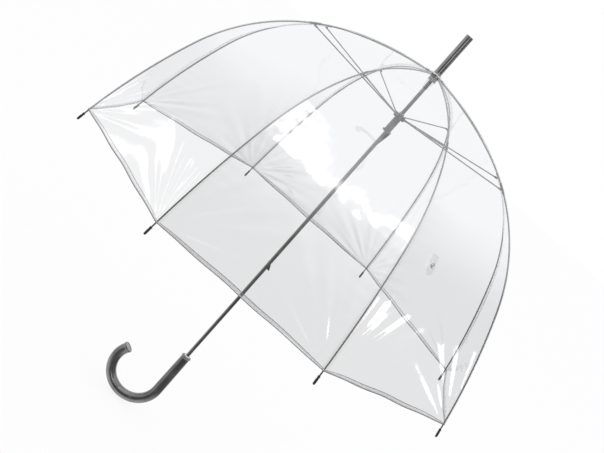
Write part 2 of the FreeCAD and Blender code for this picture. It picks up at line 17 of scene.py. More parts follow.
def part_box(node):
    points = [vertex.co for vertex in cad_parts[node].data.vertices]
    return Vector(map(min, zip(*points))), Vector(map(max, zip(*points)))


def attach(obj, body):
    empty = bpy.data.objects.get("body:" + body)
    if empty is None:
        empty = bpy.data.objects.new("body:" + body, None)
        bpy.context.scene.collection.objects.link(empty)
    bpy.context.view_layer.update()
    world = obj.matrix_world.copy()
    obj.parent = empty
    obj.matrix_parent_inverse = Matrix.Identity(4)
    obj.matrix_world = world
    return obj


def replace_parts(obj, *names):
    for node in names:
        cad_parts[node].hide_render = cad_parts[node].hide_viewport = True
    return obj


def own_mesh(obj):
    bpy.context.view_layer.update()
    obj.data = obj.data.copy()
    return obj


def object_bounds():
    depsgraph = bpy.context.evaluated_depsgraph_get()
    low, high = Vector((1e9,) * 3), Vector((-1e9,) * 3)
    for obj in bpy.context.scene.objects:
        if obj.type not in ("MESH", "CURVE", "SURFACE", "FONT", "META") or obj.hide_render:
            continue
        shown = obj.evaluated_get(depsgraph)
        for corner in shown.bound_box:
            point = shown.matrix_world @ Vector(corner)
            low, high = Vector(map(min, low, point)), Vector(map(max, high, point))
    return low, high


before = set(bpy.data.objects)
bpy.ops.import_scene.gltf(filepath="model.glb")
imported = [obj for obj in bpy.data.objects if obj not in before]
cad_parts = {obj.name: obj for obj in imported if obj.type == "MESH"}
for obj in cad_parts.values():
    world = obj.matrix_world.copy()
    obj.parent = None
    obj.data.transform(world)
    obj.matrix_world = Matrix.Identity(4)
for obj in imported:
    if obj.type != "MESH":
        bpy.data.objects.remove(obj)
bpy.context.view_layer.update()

# %% [markdown]
# ## The dome's line
# One rib is a steel rod whose slope grows evenly from almost level at the crown to almost upright
# at the tip. A running sum of the slope's cosine and sine gives the rod's line, so a few slopes
# set the whole dome, and the film, the hem and the clips can all ask the same line where it is.

# %% The rib's line
MM = 0.001
RIBS = 8
HALF_PITCH = math.pi / RIBS
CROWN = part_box("crown_washer")[1].z + 0.6 * MM
RIB_START = (16 * MM, -6 * MM)
RIB_KNOTS = np.array([0, 150, 297, 423, 643]) * MM
RIB_SLOPES = np.radians([6.2, 19.5, 44.0, 66.4, 77.8])
KNEE, RIB_END, HEM = RIB_KNOTS[2], RIB_KNOTS[4], 629 * MM
LINE = np.linspace(-10, 690, 7001) * MM


def running_sum(values):
    """The trapezoid sum of the values along LINE, counted from the rib's own start."""
    steps = (values[1:] + values[:-1]) / 2 * np.diff(LINE)
    total = np.concatenate([[0], np.cumsum(steps)])
    return total - np.interp(0, LINE, total)


LINE_SLOPE = np.interp(LINE, RIB_KNOTS, RIB_SLOPES)
LINE_OUT = RIB_START[0] + running_sum(np.cos(LINE_SLOPE))
LINE_UP = CROWN + RIB_START[1] - running_sum(np.sin(LINE_SLOPE))


def rib_line(distance, lift=0.0):
    """Radius and height at a distance along the rib: the summed line, plus the lift times the
    outward direction (sine of the slope outwards, cosine of the slope upwards)."""
    slope = np.interp(distance, LINE, LINE_SLOPE)
    out = np.interp(distance, LINE, LINE_OUT) + lift * np.sin(slope)
    up = np.interp(distance, LINE, LINE_UP) + lift * np.cos(slope)
    return out, up


def turned_to(azimuth, out, across, up):
    """Points given as outwards, across and up, turned about the shaft to an azimuth in degrees."""
    a = math.radians(azimuth)
    x = out * math.cos(a) - across * math.sin(a)
    y = out * math.sin(a) + across * math.cos(a)
    return np.stack(np.broadcast_arrays(x, y, up), -1)


def rib_azimuth(number):
    return 360 / RIBS * (number - 0.5)


def gore_azimuth(number):
    return 360 / RIBS * (number - 1)


print("dome radius", round(float(rib_line(RIB_END)[0]), 3), "crown height", round(CROWN, 3))

# %% [markdown]
# ## From arrays to meshes
# Every new surface is a grid of points worked out as one array. Rings of points joined into quads
# make rods, tubes and turned parts; an open grid makes a sheet. Closed shells get their normals
# recalculated once their doubled points are merged, so that their faces look outwards.

# %% Mesh helpers
def skin(rings, capped=True, looped=False):
    """Quads between each ring and the next, the last point of a ring joining the first. Caps
    close the two ends, or the last ring joins the first when the outline is a loop."""
    count, around = rings.shape[:2]
    index = np.arange(count * around).reshape(count, around)
    start, end = (index, np.roll(index, -1, 0)) if looped else (index[:-1], index[1:])
    quads = np.stack([start, np.roll(start, -1, 1), np.roll(end, -1, 1), end], -1)
    faces = quads.reshape(-1, 4).tolist()
    if capped and not looped:
        faces += [index[0][::-1].tolist(), index[-1].tolist()]
    return rings.reshape(-1, 3), faces


def open_grid(points):
    """Quads between the rows and columns of a grid of points."""
    rows, cols = points.shape[:2]
    index = np.arange(rows * cols).reshape(rows, cols)
    quads = np.stack([index[:-1, :-1], index[1:, :-1], index[1:, 1:], index[:-1, 1:]], -1)
    return points.reshape(-1, 3), quads.reshape(-1, 4).tolist()


def joined(*parts):
    """Several sets of points and faces as one."""
    starts = np.cumsum([0] + [len(points) for points, _ in parts])
    faces = [[int(start) + v for v in face] for start, (_, some) in zip(starts, parts)
             for face in some]
    return np.concatenate([points for points, _ in parts]), faces


def shade(mesh, sharp_angle=None):
    """Smooth shading, with the edges steeper than the sharp angle left crisp."""
    mesh.polygons.foreach_set("use_smooth", np.ones(len(mesh.polygons), bool))
    if sharp_angle:
        mesh.set_sharp_from_angle(angle=math.radians(sharp_angle))


def tidy_shell(mesh):
    """Merges doubled points and turns the faces of closed shells outwards."""
    work = bmesh.new()
    work.from_mesh(mesh)
    bmesh.ops.remove_doubles(work, verts=work.verts, dist=0.002 * MM)
    bmesh.ops.recalc_face_normals(work, faces=work.faces)
    work.to_mesh(mesh)
    work.free()


def make_piece(name, shape, finish, body, replaces=(), closed=True,
               sharp_angle=35, marks=None):
    """A mesh object from points and faces, with its finish, riding on a body of the frame."""
    points, faces = shape
    mesh = bpy.data.meshes.new(name)
    mesh.from_pydata(points.tolist(), [], faces)
    for mark, values in (marks or {}).items():
        layer = mesh.attributes.new(mark, "FLOAT", "POINT")
        layer.data.foreach_set("value", np.ascontiguousarray(values.ravel(), np.float32))
    if closed:
        tidy_shell(mesh)
    shade(mesh, sharp_angle)
    mesh.materials.append(finish)
    piece = bpy.data.objects.new(name, mesh)
    bpy.context.scene.collection.objects.link(piece)
    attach(piece, body)
    if replaces:
        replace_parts(piece, *replaces)
    return piece


# %% [markdown]
# ## Rods and turned parts
# Most hard pieces are one of two kinds. A rod carries a cross-section along a line, and a turned
# part spins an outline about an axis. Softened corners matter more than any texture on small
# metal parts, because a corner that catches light is what tells the eye that it is metal.

# %% Rod and lathe
def rod_along(path, side, wide, high=None, around=16):
    """Rings of an ellipse round each point of a flat path: the half width times the cosine along
    the side direction, plus the half height times the sine along the path's own normal."""
    path, side = np.asarray(path, float), np.asarray(side, float)
    wide = np.broadcast_to(wide, len(path))
    high = wide if high is None else np.broadcast_to(high, len(path))
    along = np.gradient(path, axis=0)
    along /= np.linalg.norm(along, axis=1)[:, None]
    normal = np.cross(along, side)
    turn = np.linspace(0, 2 * np.pi, around, endpoint=False)
    return (path[:, None] + (wide[:, None] * np.cos(turn))[..., None] * side
            + (high[:, None] * np.sin(turn))[..., None] * normal[:, None])


def lathe(outline, foot=(0, 0, 0), axis=(0, 0, 1), around=48):
    """Rings of a circle for each point of an outline of radius and height about an axis."""
    axis = Vector(axis).normalized()
    first = axis.orthogonal().normalized()
    second = axis.cross(first)
    turn = np.linspace(0, 2 * np.pi, around, endpoint=False)[None, :, None]
    radius, height = np.asarray(outline, float).T[:, :, None, None]
    spoke = np.cos(turn) * np.array(first) + np.sin(turn) * np.array(second)
    return np.array(foot) + radius * spoke + height * np.array(axis)


def softened(corners, radius, steps=4, loop=True):
    """A corner outline with each corner swapped for a short curve: a blend of the point before
    the corner, the corner and the point after it, with weights that are squares and products."""
    corners = np.asarray(corners, float)
    back, on = np.roll(corners, 1, 0) - corners, np.roll(corners, -1, 0) - corners
    reach = [np.minimum(radius, np.linalg.norm(v, axis=1) * 0.45)[:, None]
             / np.linalg.norm(v, axis=1)[:, None] for v in (back, on)]
    first, last = corners + back * reach[0], corners + on * reach[1]
    t = np.linspace(0, 1, steps)[None, :, None]
    curve = ((1 - t) ** 2 * first[:, None] + 2 * t * (1 - t) * corners[:, None]
             + t ** 2 * last[:, None])
    if not loop:
        curve[0], curve[-1] = corners[0], corners[-1]
    return curve.reshape(-1, 2)


def turned_ring(inner, outer, foot, top, radius):
    """A sleeve or washer: a rectangle with softened corners spun about the shaft."""
    corners = [(inner, foot), (outer, foot), (outer, top), (inner, top)]
    return skin(lathe(softened(corners, radius)), looped=True)


# %% [markdown]
# ## Shader sums as sentences
# A finish reads better as a sum than as a web of boxes, so a small class wraps a socket and lets
# Python's own signs add Math nodes. Everything else comes from one method, `node`, that takes the
# node's type, its settings and what its sockets hold.

# %% Sockets that can be added and multiplied
class Amount:
    """A number that varies over a surface; a sum or product of two adds a Math node."""

    def __init__(self, board, socket):
        self.board, self.socket = board, socket

    def sum_node(self, operation, first, second):
        return self.board.node("ShaderNodeMath", {"operation": operation},
                               {0: first, 1: second})

    def __add__(self, other):
        return self.sum_node("ADD", self, other)

    def __radd__(self, other):
        return self.sum_node("ADD", other, self)

    def __sub__(self, other):
        return self.sum_node("SUBTRACT", self, other)

    def __rsub__(self, other):
        return self.sum_node("SUBTRACT", other, self)

    def __mul__(self, other):
        return self.sum_node("MULTIPLY", self, other)

    def __rmul__(self, other):
        return self.sum_node("MULTIPLY", other, self)

    def __pow__(self, other):
        return self.sum_node("POWER", self, other)

    def capped(self, ceiling=1.0):
        return self.sum_node("MINIMUM", self, ceiling)

    def rising(self, low, high):
        """0 below low, 1 above high, and a smooth step between them."""
        return self.board.node("ShaderNodeMapRange", {"interpolation_type": "SMOOTHSTEP"},
                               {"Value": self, "From Min": low, "From Max": high})


class Finish:
    """One material's board of nodes."""

    def __init__(self, name):
        self.material = bpy.data.materials.new(name)
        self.material.use_nodes = True
        self.tree = self.material.node_tree
        self.tree.nodes.clear()
        self.place = self.node("ShaderNodeTexCoord", out="Object")

    def node(self, kind, settings=None, sockets=None, out=0):
        """Adds a node: its settings first, then the value or link of each socket."""
        made = self.tree.nodes.new(kind)
        for name, value in (settings or {}).items():
            setattr(made, name, value)
        for name, value in (sockets or {}).items():
            if isinstance(value, Amount):
                self.tree.links.new(value.socket, made.inputs[name])
            else:
                made.inputs[name].default_value = value
        return None if out is None else Amount(self, made.outputs[out])

    def stretched(self, scale):
        """Object coordinates drawn out by a different factor along each axis."""
        return self.node("ShaderNodeMapping", None, {"Vector": self.place, "Scale": scale})

    def noise(self, scale, detail=3.0, vector=None, distortion=0.0):
        return self.node("ShaderNodeTexNoise", None, {
            "Vector": vector or self.place, "Scale": scale, "Detail": detail,
            "Distortion": distortion})

    def mark(self, name):
        return self.node("ShaderNodeAttribute", {"attribute_name": name}, out="Fac")

    def tint(self, share, first, second):
        """A colour between two colours."""
        return self.node("ShaderNodeMix", {"data_type": "RGBA"},
                         {0: share, 6: first, 7: second}, out=2)

    def bump(self, height, depth):
        return self.node("ShaderNodeBump", None,
                         {"Height": height, "Distance": depth, "Strength": 1.0})

    def surface(self, **sockets):
        """The Principled shader; underscores in a name stand for spaces."""
        named = {name.replace("_", " "): value for name, value in sockets.items()}
        return self.node("ShaderNodeBsdfPrincipled", None, named)

    def finished(self, shader):
        self.node("ShaderNodeOutputMaterial", None, {"Surface": shader}, out=None)
        return self.material


def grey(value, blue=0.0):
    return (value, value, value + blue, 1.0)


# %% [markdown]
# ## Clear film
# The film is soft PVC about a fifth of a millimetre thick. It takes almost nothing from the light
# that passes, so what shows it is the reflection on its two faces, stronger at a glancing angle.
# A Mix Shader lets a share of a mirror-like shader over a Transparent one; that share grows with
# the facing angle, and more where two layers are welded, along the hem's fold and at its cut edge.
# Along the fold, the cut edge and the weld's end the mirror is also painted almost black: painted
# shade, dark lines that stand in for the light these edges bend away.

# %% Film finish
FILM_TINT = (0.962, 0.966, 0.976, 1.0)


def film_finish(name, floor=0.15, rim=0.27):
    """Share of reflection: a floor, plus the rim strength times the facing angle to a power, plus
    a little haze, the welds and the painted dark lines of the hem. These lines are painted shade
    for the light bent at the fold, the cut edge and the weld's end."""
    b = Finish(name)
    facing = b.node("ShaderNodeLayerWeight", None, {"Blend": 0.5}, out="Facing")
    weld, line = b.mark("weld"), b.mark("line")
    cloud, dust = b.noise(9.0, 2.0), b.noise(420.0, 2.0)
    # The line mark paints the mirror almost black and nearly opaque: painted shade along the hem's
    # fold, its cut edge and the weld's end.
    share = (floor + rim * facing ** 4.0 + 0.022 * cloud + 0.10 * weld + 0.85 * line
             + 0.02 * dust.rising(0.62, 0.72))
    tint = b.tint(line, b.tint(cloud, grey(0.93, 0.02), grey(0.99)), grey(0.10, 0.005))
    relief = b.noise(22.0, 2.0, distortion=0.3) + 0.12 * b.noise(110.0, 2.0) + 0.5 * weld
    gloss = b.surface(Base_Color=tint, Metallic=1.0 - 0.55 * line,
                      Roughness=0.03 + 0.05 * cloud + 0.25 * weld + 0.3 * line,
                      Normal=b.bump(relief, 0.14 * MM))
    through = b.node("ShaderNodeBsdfTransparent", None, {"Color": FILM_TINT})
    return b.finished(b.node("ShaderNodeMixShader", None,
                             {0: share.capped(), 1: through, 2: gloss}))


# %% [markdown]
# ## Metals and plastics
# Drawn and polished metals differ by how dark they are, how sharp their reflections are and the
# direction of the fine lines that the tool left. The plastics keep a soft moulded grain. Each
# finish varies a little in colour and gloss, because nothing that is handled stays even.

# %% Metal finish
def metal_finish(name, dark, light, rough, lines=(900, 900, 14), depth=0.012, coat=0.0):
    """A metal whose colour and gloss drift with a slow noise, under fine drawn lines."""
    b = Finish(name)
    drift, drawn = b.noise(38.0, 4.0), b.noise(1.0, 2.0, b.stretched(lines))
    smudge = b.noise(95.0, 5.0, distortion=0.6).rising(0.52, 0.72)
    tone = b.tint(drift.rising(0.3, 0.7), dark, light)
    return b.finished(b.surface(
        Base_Color=tone, Metallic=1.0 - 0.06 * smudge,
        Roughness=rough + 0.10 * smudge + 0.06 * drawn, Coat_Weight=coat,
        Coat_Roughness=0.06, Normal=b.bump(0.25 * drawn + 0.5 * drift, depth * MM)))


def plastic_finish(name, dark, light, rough, grain=900.0, depth=0.02):
    """A moulded plastic: slow colour drift, fine grain in the relief, worn shiny in patches."""
    b = Finish(name)
    drift, fine = b.noise(60.0, 3.0), b.noise(grain, 3.0)
    rubbed = b.noise(140.0, 4.0).rising(0.5, 0.75)
    return b.finished(b.surface(
        Base_Color=b.tint(drift.rising(0.3, 0.7), dark, light), Metallic=0.0 * drift,
        Roughness=rough + 0.08 * fine - 0.14 * rubbed,
        Normal=b.bump(fine + 0.6 * drift, depth * MM)))


# %% Every finish of the umbrella
FILM = film_finish("clear_film")
# The lower bands get a darker copy of the same film, with a larger mirror share: painted shade
# that darkens the lower part of the canopy.
SKIRT_FILM_PAINTED_DARKER = film_finish("skirt_film_painted_darker", 0.215, 0.20)
PATCH_FILM = film_finish("crown_patch_film", 0.12, 0.75)
STRAP_FILM = film_finish("strap_film", 0.10, 0.80)
SHAFT_STEEL = metal_finish("shaft_steel", grey(0.24), grey(0.34), 0.14, (700, 700, 9), 0.004)
FERRULE_METAL = metal_finish("ferrule_metal", grey(0.30), grey(0.42, 0.01), 0.14,
                             (700, 700, 9), 0.0015)
GUNMETAL = metal_finish("handle_gunmetal", grey(0.19), grey(0.27, 0.005), 0.20,
                        (240, 240, 240), 0.010, 0.35)
RIB_STEEL = metal_finish("rib_steel", grey(0.15), grey(0.26), 0.30)
STRETCHER_STEEL = metal_finish("stretcher_steel", grey(0.20), grey(0.32), 0.30)
WIRE_STEEL = metal_finish("tie_wire", grey(0.35), grey(0.5), 0.28, (500, 500, 500))
NOTCH_METAL = metal_finish("notch_metal", grey(0.50), grey(0.62), 0.30, (300, 300, 300))
CATCH_STEEL = metal_finish("catch_steel", grey(0.09), grey(0.16), 0.28, (30, 900, 900))
PIN_METAL = metal_finish("pin_metal", grey(0.42), grey(0.55), 0.25, (500, 500, 500))
SNAP_METAL = metal_finish("snap_metal", grey(0.62), grey(0.74), 0.30, (400, 400, 400))
TIP_BLACK = plastic_finish("tip_plastic", grey(0.012), grey(0.03), 0.42)
CLIP_DARK = plastic_finish("clip_plastic", grey(0.03), grey(0.06), 0.38)
WHITE_PLASTIC = plastic_finish("white_plastic", grey(0.72), grey(0.84), 0.36)
RUNNER_GREY = plastic_finish("runner_plastic", grey(0.09), grey(0.14), 0.28)

# %% [markdown]
# ## Hard parts that keep their engineered shape
# The slotted shaft, the notched crown ring, the runner with its window and the spring catches are
# already exact, and their slots have to line up. Each is copied from the frame, its loose
# triangles are merged and its round faces shaded smooth, and the copy stands for the frame's node.

# %% Copies of the exact hard parts
def polished_copy(node, name, finish, body, sharp_angle=30):
    """A merged, smooth-shaded copy of a frame node that stands for it."""
    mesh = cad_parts[node].data.copy()
    mesh.name = name
    mesh.materials.clear()
    mesh.materials.append(finish)
    tidy_shell(mesh)
    shade(mesh, sharp_angle)
    piece = bpy.data.objects.new(name, mesh)
    bpy.context.scene.collection.objects.link(piece)
    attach(piece, body)
    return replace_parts(piece, node)


polished_copy("shaft_tube", "drawn_shaft", SHAFT_STEEL, "shaft")
polished_copy("ferrule_plug", "ferrule_core", SHAFT_STEEL, "shaft")
polished_copy("crown_notch", "crown_notch_ring", NOTCH_METAL, "shaft")
polished_copy("crown_wire", "rib_wire", WIRE_STEEL, "shaft")
polished_copy("runner", "runner_sleeve", RUNNER_GREY, "runner")
polished_copy("runner_wire", "stretcher_wire", WIRE_STEEL, "runner")
polished_copy("runner_stop", "stop_collar", PIN_METAL, "shaft")
polished_copy("catch_pins", "catch_cross_pins", PIN_METAL, "shaft")
polished_copy("handle_pin", "grip_cross_pin", PIN_METAL, "shaft")
polished_copy("top_catch", "upper_catch_blade", CATCH_STEEL, "top_catch")
polished_copy("bottom_catch", "lower_catch_blade", CATCH_STEEL, "bottom_catch")
print("hard copies made")

# %% [markdown]
# ## Ferrule and crown
# The ferrule is a long plated tube with a rolled foot and a flat end. It presses a white washer
# and a round patch of film onto the canopy, so that no rain runs down the shaft. All three are
# outlines turned about the shaft; the patch has eight soft scallops, one over each rib.

# %% Ferrule, washer and patch
SHAFT, ROLL_OUT, PLUG_MOUTH, PLUG_DEPTH = 3.5 * MM, 0.7 * MM, 5.25 * MM, 8.9 * MM
WASHER_BORE, PATCH_BORE, SCALLOP = 3.55 * MM, 3.6 * MM, 0.035


def make_ferrule():
    low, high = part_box("ferrule")
    wall, bore = high.x, SHAFT
    foot, tip = low.z, high.z
    seat, mouth, rim = tip - PLUG_DEPTH, PLUG_MOUTH, wall + ROLL_OUT
    outline = [(bore, foot), (rim, foot), (rim, foot + 1.6 * MM),
               (wall, foot + 2.4 * MM), (wall, tip - 0.5 * MM), (wall - 0.5 * MM, tip),
               (mouth, tip), (mouth, seat), (bore, seat)]
    shape = skin(lathe(softened(outline, 0.5 * MM, 5), around=64), looped=True)
    make_piece("ferrule_tube", shape, FERRULE_METAL, "shaft", ["ferrule"])


def make_washer():
    low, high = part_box("crown_washer")
    outer, foot, top = high.x, low.z, high.z
    outline = [(WASHER_BORE, foot), (outer, foot), (outer, foot + 0.7 * MM),
               (outer * 0.72, top), (WASHER_BORE, top)]
    shape = skin(lathe(softened(outline, 0.5 * MM, 5), around=64), looped=True)
    make_piece("crown_washer_disc", shape, WHITE_PLASTIC, "shaft",
               ["crown_washer"])


def make_patch():
    """Radius of the edge: the mean, plus the scallop times the cosine of eight times the turn."""
    low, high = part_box("crown_patch")
    corners = [(PATCH_BORE, low.z), (high.x, low.z), (high.x, high.z), (PATCH_BORE, high.z)]
    rings = lathe(softened(corners, 0.3 * MM), around=128)
    turn = np.arctan2(rings[..., 1], rings[..., 0])
    share = np.hypot(rings[..., 0], rings[..., 1]) / high.x
    wave = SCALLOP * np.cos(RIBS * turn - math.pi) - SCALLOP
    rings[..., :2] *= (1 + wave * share ** 4)[..., None]
    shape = skin(rings, looped=True)
    zero = np.zeros(len(shape[0]))
    patch = make_piece("crown_patch_rosette", shape, PATCH_FILM, "shaft",
                       ["crown_patch"], marks={"weld": zero, "line": zero})


make_ferrule()
make_washer()
make_patch()

# %% [markdown]
# ## Ribs, clips and tips
# Each rib is a round steel rod that hangs by a flattened eye on the crown wire. A small clip
# carries the rivet that the stretcher pushes on, and a black cap on the lower end holds the hem.
# The rod bends at one place only in the folding model, and its two spans share a round end there,
# so that the bend never opens a gap.

# %% One rib
def rounded_reach(distance, radius, start, end):
    """Half width of a rod with round ends: the square root of the radius squared less the
    distance into the end squared, and the plain radius in between."""
    into = np.clip(np.maximum(start + radius - distance, distance - end + radius), 0, radius)
    return np.sqrt(np.maximum(radius ** 2 - into ** 2, (0.04 * radius) ** 2))


def rib_path(distance, azimuth, lift=0.0):
    out, up = rib_line(distance, lift)
    return turned_to(azimuth, out, 0.0, up)


def across_of(azimuth):
    return turned_to(azimuth, 0.0, 1.0, 0.0)


def end_steps(start, end, radius, count):
    """Distances along a rod, packed closely in both round ends."""
    bow = radius * (1 - np.cos(np.linspace(0, np.pi / 2, 6)))
    return np.concatenate([start + bow, np.linspace(start + radius, end - radius, count)[1:-1],
                           (end - bow)[::-1]])


ROD = 1.3 * MM
EYE, EYE_HALF_WIDTH = 2.0 * MM, 0.8 * MM
NECK_END, PRESSED_TO, PRESS_FADE = 9 * MM, 6 * MM, 4 * MM
CLIP_BORE, CLIP_RADIUS, CLIP_ROUND, LUG_END = 1.35 * MM, 1.9 * MM, 0.6 * MM, 2 * MM
JOINT_AT, JOINT_DROP, CLIP_HALF = 217 * MM, 3.4 * MM, 10 * MM
TIP_OVERLAP = 5 * MM


def upper_span(number):
    """The rod from the eye to the knee; the eye is the same rod pressed flat."""
    azimuth = rib_azimuth(number)
    steps = np.concatenate([end_steps(-EYE, NECK_END, EYE, 12)[:16],
                            end_steps(NECK_END, KNEE + ROD, ROD, 90)[6:]])
    pressed = np.clip((PRESSED_TO - steps) / PRESS_FADE, 0, 1)
    pressed = pressed ** 2 * (3 - 2 * pressed)
    reach = rounded_reach(steps, EYE, -EYE, 1.0)
    tail = rounded_reach(steps, ROD, -1.0, KNEE + ROD)
    high = np.minimum(tail, ROD) * (1 - pressed) + reach * pressed
    wide = np.minimum(tail, ROD) * (1 - pressed) + np.minimum(reach, EYE_HALF_WIDTH) * pressed
    rings = rod_along(rib_path(steps, azimuth), across_of(azimuth), wide, high)
    make_piece(f"rib_{number}_upper_rod", skin(rings), RIB_STEEL, f"rib_{number}_inner",
               [f"rib_{number}_inner"])


def lower_span(number):
    azimuth = rib_azimuth(number)
    steps = end_steps(KNEE - ROD, RIB_END, ROD, 110)
    rings = rod_along(rib_path(steps, azimuth), across_of(azimuth),
                      rounded_reach(steps, ROD, KNEE - ROD, RIB_END))
    make_piece(f"rib_{number}_lower_rod", skin(rings), RIB_STEEL, f"rib_{number}_outer",
               [f"rib_{number}_outer"])


def clip(number):
    """A sleeve round the rod with a thumb-shaped lug below it."""
    azimuth = rib_azimuth(number)
    start, end = JOINT_AT - CLIP_HALF, JOINT_AT + CLIP_HALF
    steps = end_steps(start, end, CLIP_ROUND, 24)
    edge = np.minimum(np.minimum(steps - start, end - steps) / CLIP_ROUND, 1)
    sleeve = rod_along(rib_path(steps, azimuth), across_of(azimuth),
                       CLIP_BORE + (CLIP_RADIUS - CLIP_BORE) * np.sqrt(edge * (2 - edge)))
    drops = np.linspace(0, JOINT_DROP + LUG_END, 22)
    out, up = rib_line(np.full(len(drops), JOINT_AT), -drops)
    lug = rod_along(turned_to(azimuth, out, 0.0, up), across_of(azimuth), CLIP_RADIUS,
                    rounded_reach(drops, LUG_END, -1.0, JOINT_DROP + LUG_END))
    make_piece(f"rib_{number}_clip", joined(skin(sleeve), skin(lug)), CLIP_DARK,
               f"rib_{number}_inner")


def tip(number):
    """A cap turned about the rod's end: a collar, a waist that grips the hem and a round nose."""
    azimuth = rib_azimuth(number)
    seat = RIB_END - TIP_OVERLAP
    foot, ahead = rib_path(np.array([seat, seat + MM]), azimuth)
    outline = np.array([(0, 0), (1.7, 0), (2.25, 0.5), (2.3, 2.2), (1.9, 3.2), (1.85, 4.6),
                        (2.1, 5.6), (2.1, 12.6), (2.0, 13.8), (1.6, 15.0), (0.9, 15.8),
                        (0, 16.0)]) * MM
    rings = lathe(softened(outline, 0.5 * MM, loop=False), foot, ahead - foot, 32)
    make_piece(f"rib_{number}_tip", skin(rings, capped=False), TIP_BLACK,
               f"rib_{number}_outer")


for rib in range(1, RIBS + 1):
    upper_span(rib)
    lower_span(rib)
    clip(rib)
    tip(rib)
print("ribs, clips and tips made")

# %% [markdown]
# ## Stretchers and rivets
# A stretcher is a straight rod beside its rib's plane, pressed flat at both ends. One end hangs
# on the runner's wire, and the other turns on a rivet through the clip's lug.

# %% One stretcher
SIDE, HUB_RING = 3.3 * MM, 10 * MM
HUB_HEIGHT = CROWN - 97 * MM
WIRE_ROD, WIRE_EYE, WIRE_EYE_HALF_WIDTH, WIRE_PRESS_FADE = 1.1 * MM, 1.7 * MM, 0.7 * MM, 3 * MM


def stretcher(number):
    azimuth = rib_azimuth(number)
    out, up = rib_line(JOINT_AT, -JOINT_DROP)
    near = np.array([math.sqrt(HUB_RING ** 2 - SIDE ** 2), HUB_HEIGHT])
    far = np.array([float(out), float(up)])
    length = np.linalg.norm(far - near)
    steps = end_steps(-WIRE_EYE, length + WIRE_EYE, WIRE_EYE, 120)
    line = near + np.outer(steps / length, far - near)
    eye = rounded_reach(steps, WIRE_EYE, -WIRE_EYE, length + WIRE_EYE)
    to_end = np.minimum(steps, length - steps)
    pressed = np.clip((PRESSED_TO - to_end) / WIRE_PRESS_FADE, 0, 1)
    pressed = pressed ** 2 * (3 - 2 * pressed)
    high = WIRE_ROD * (1 - pressed) + eye * pressed
    wide = WIRE_ROD * (1 - pressed) + np.minimum(eye, WIRE_EYE_HALF_WIDTH) * pressed
    rings = rod_along(turned_to(azimuth, line[:, 0], SIDE, line[:, 1]), across_of(azimuth),
                      wide, high)
    make_piece(f"stretcher_{number}_rod", skin(rings), STRETCHER_STEEL,
               f"stretcher_{number}", [f"stretcher_{number}"])
    rivet(number, azimuth, far)


def rivet(number, azimuth, at):
    """A shank through the lug and the eye, with a domed head on each end."""
    outline = np.array([(0, -2.9), (0.8, -2.75), (1.35, -2.4), (1.5, -1.95), (0.7, -1.9),
                        (0.7, 4.05), (1.5, 4.1), (1.35, 4.5), (0.8, 4.8), (0, 4.9)]) * MM
    foot = turned_to(azimuth, at[0], 0.0, at[1])
    rings = lathe(outline, foot, across_of(azimuth), 24)
    make_piece(f"rib_{number}_rivet", skin(rings, capped=False), PIN_METAL,
               f"rib_{number}_inner")


for rib in range(1, RIBS + 1):
    stretcher(rib)
print("stretchers made")

# %% [markdown]
# ## The film
# A gore is the film between two ribs. It is stretched from rib to rib, so across the gore it runs
# almost straight, with a slight draw inwards, and along the gore it follows the rib. Near each tip
# the pull gathers in fine folds that fan out from the corner, and close to the welds the film
# puckers. Those shapes are in the mesh, because clear film shows nothing but what it reflects.

# %% The film's shape
FILM_LIFT = 2.5 * MM
FILM_START = 4 * MM
WELD = 4.0 * MM
SEED = np.random.default_rng(11)
PHASES = SEED.uniform(0, 2 * np.pi, (RIBS, 8))
FOLD_HEIGHT, FOLD_NEAR, FOLD_FADE = 1.1 * MM, 0.05, 0.075
DRAW, SAG, SAG_AT, SAG_WIDE = 4.5, 3.4, 0.26, 0.09
PUCKER_HEIGHT, PUCKER_WAVE, PUCKER_FADE = 0.22 * MM, 0.021, 0.022
LONG_BILLOW, LONG_WAVE = 0.24, 0.17
SHORT_BILLOW, SHORT_WAVE = 0.10, 0.083
CALM_TO = 0.10


def gore_half(distance):
    """Half the gore's width: the rib's radius times the sine of half the pitch."""
    return rib_line(distance, FILM_LIFT)[0] * math.sin(HALF_PITCH)


def corner_folds(side_room, hem_room, phase):
    """Folds that fan out of a corner: a sine of the angle about the corner, strongest a little
    way out and dying off with the distance from it."""
    reach, angle = np.hypot(side_room, hem_room), np.arctan2(side_room, hem_room)
    near, far = np.minimum(reach / FOLD_NEAR, 1), np.exp(-reach / FOLD_FADE)
    fan = (np.sin(19 * angle + 16 * reach + phase) + 0.6 * np.sin(31 * angle - 9 * reach
           + 2 * phase))
    return FOLD_HEIGHT * near * far * fan


def film_offset(distance, across, half, phase):
    """How far the film lies from the flat sheet between the ribs, measured outwards: the draw
    inwards, a bell-shaped sag above the knee, corner folds, puckers and two slow waves."""
    edge = across / half
    held = 1 - edge ** 8
    draw = -(1 - edge ** 2) * MM * (DRAW * np.clip(distance / KNEE, 0, 1) ** 2
                                    + SAG * np.exp(-((distance - SAG_AT) / SAG_WIDE) ** 2))
    hem_room = np.maximum(HEM - distance, 0)
    folds = (corner_folds(half - across, hem_room, phase[0])
             + corner_folds(half + across, hem_room, phase[1]))
    room = half - np.abs(across)
    crimp = np.sin(2 * np.pi * distance / PUCKER_WAVE + phase[2] + 3 * np.sign(across))
    pucker = (PUCKER_HEIGHT * crimp * np.exp(-room / PUCKER_FADE)
              * np.clip(room / WELD, 0, 1))
    billow = MM * (
        LONG_BILLOW * np.sin(2 * np.pi * distance / LONG_WAVE + 2.2 * edge + phase[3])
        + SHORT_BILLOW * np.sin(2 * np.pi * distance / SHORT_WAVE - 4.0 * edge + phase[4]))
    calm = np.clip(distance / CALM_TO, 0, 1)
    return draw + held * calm * (folds + pucker + billow * (1 - edge ** 2))


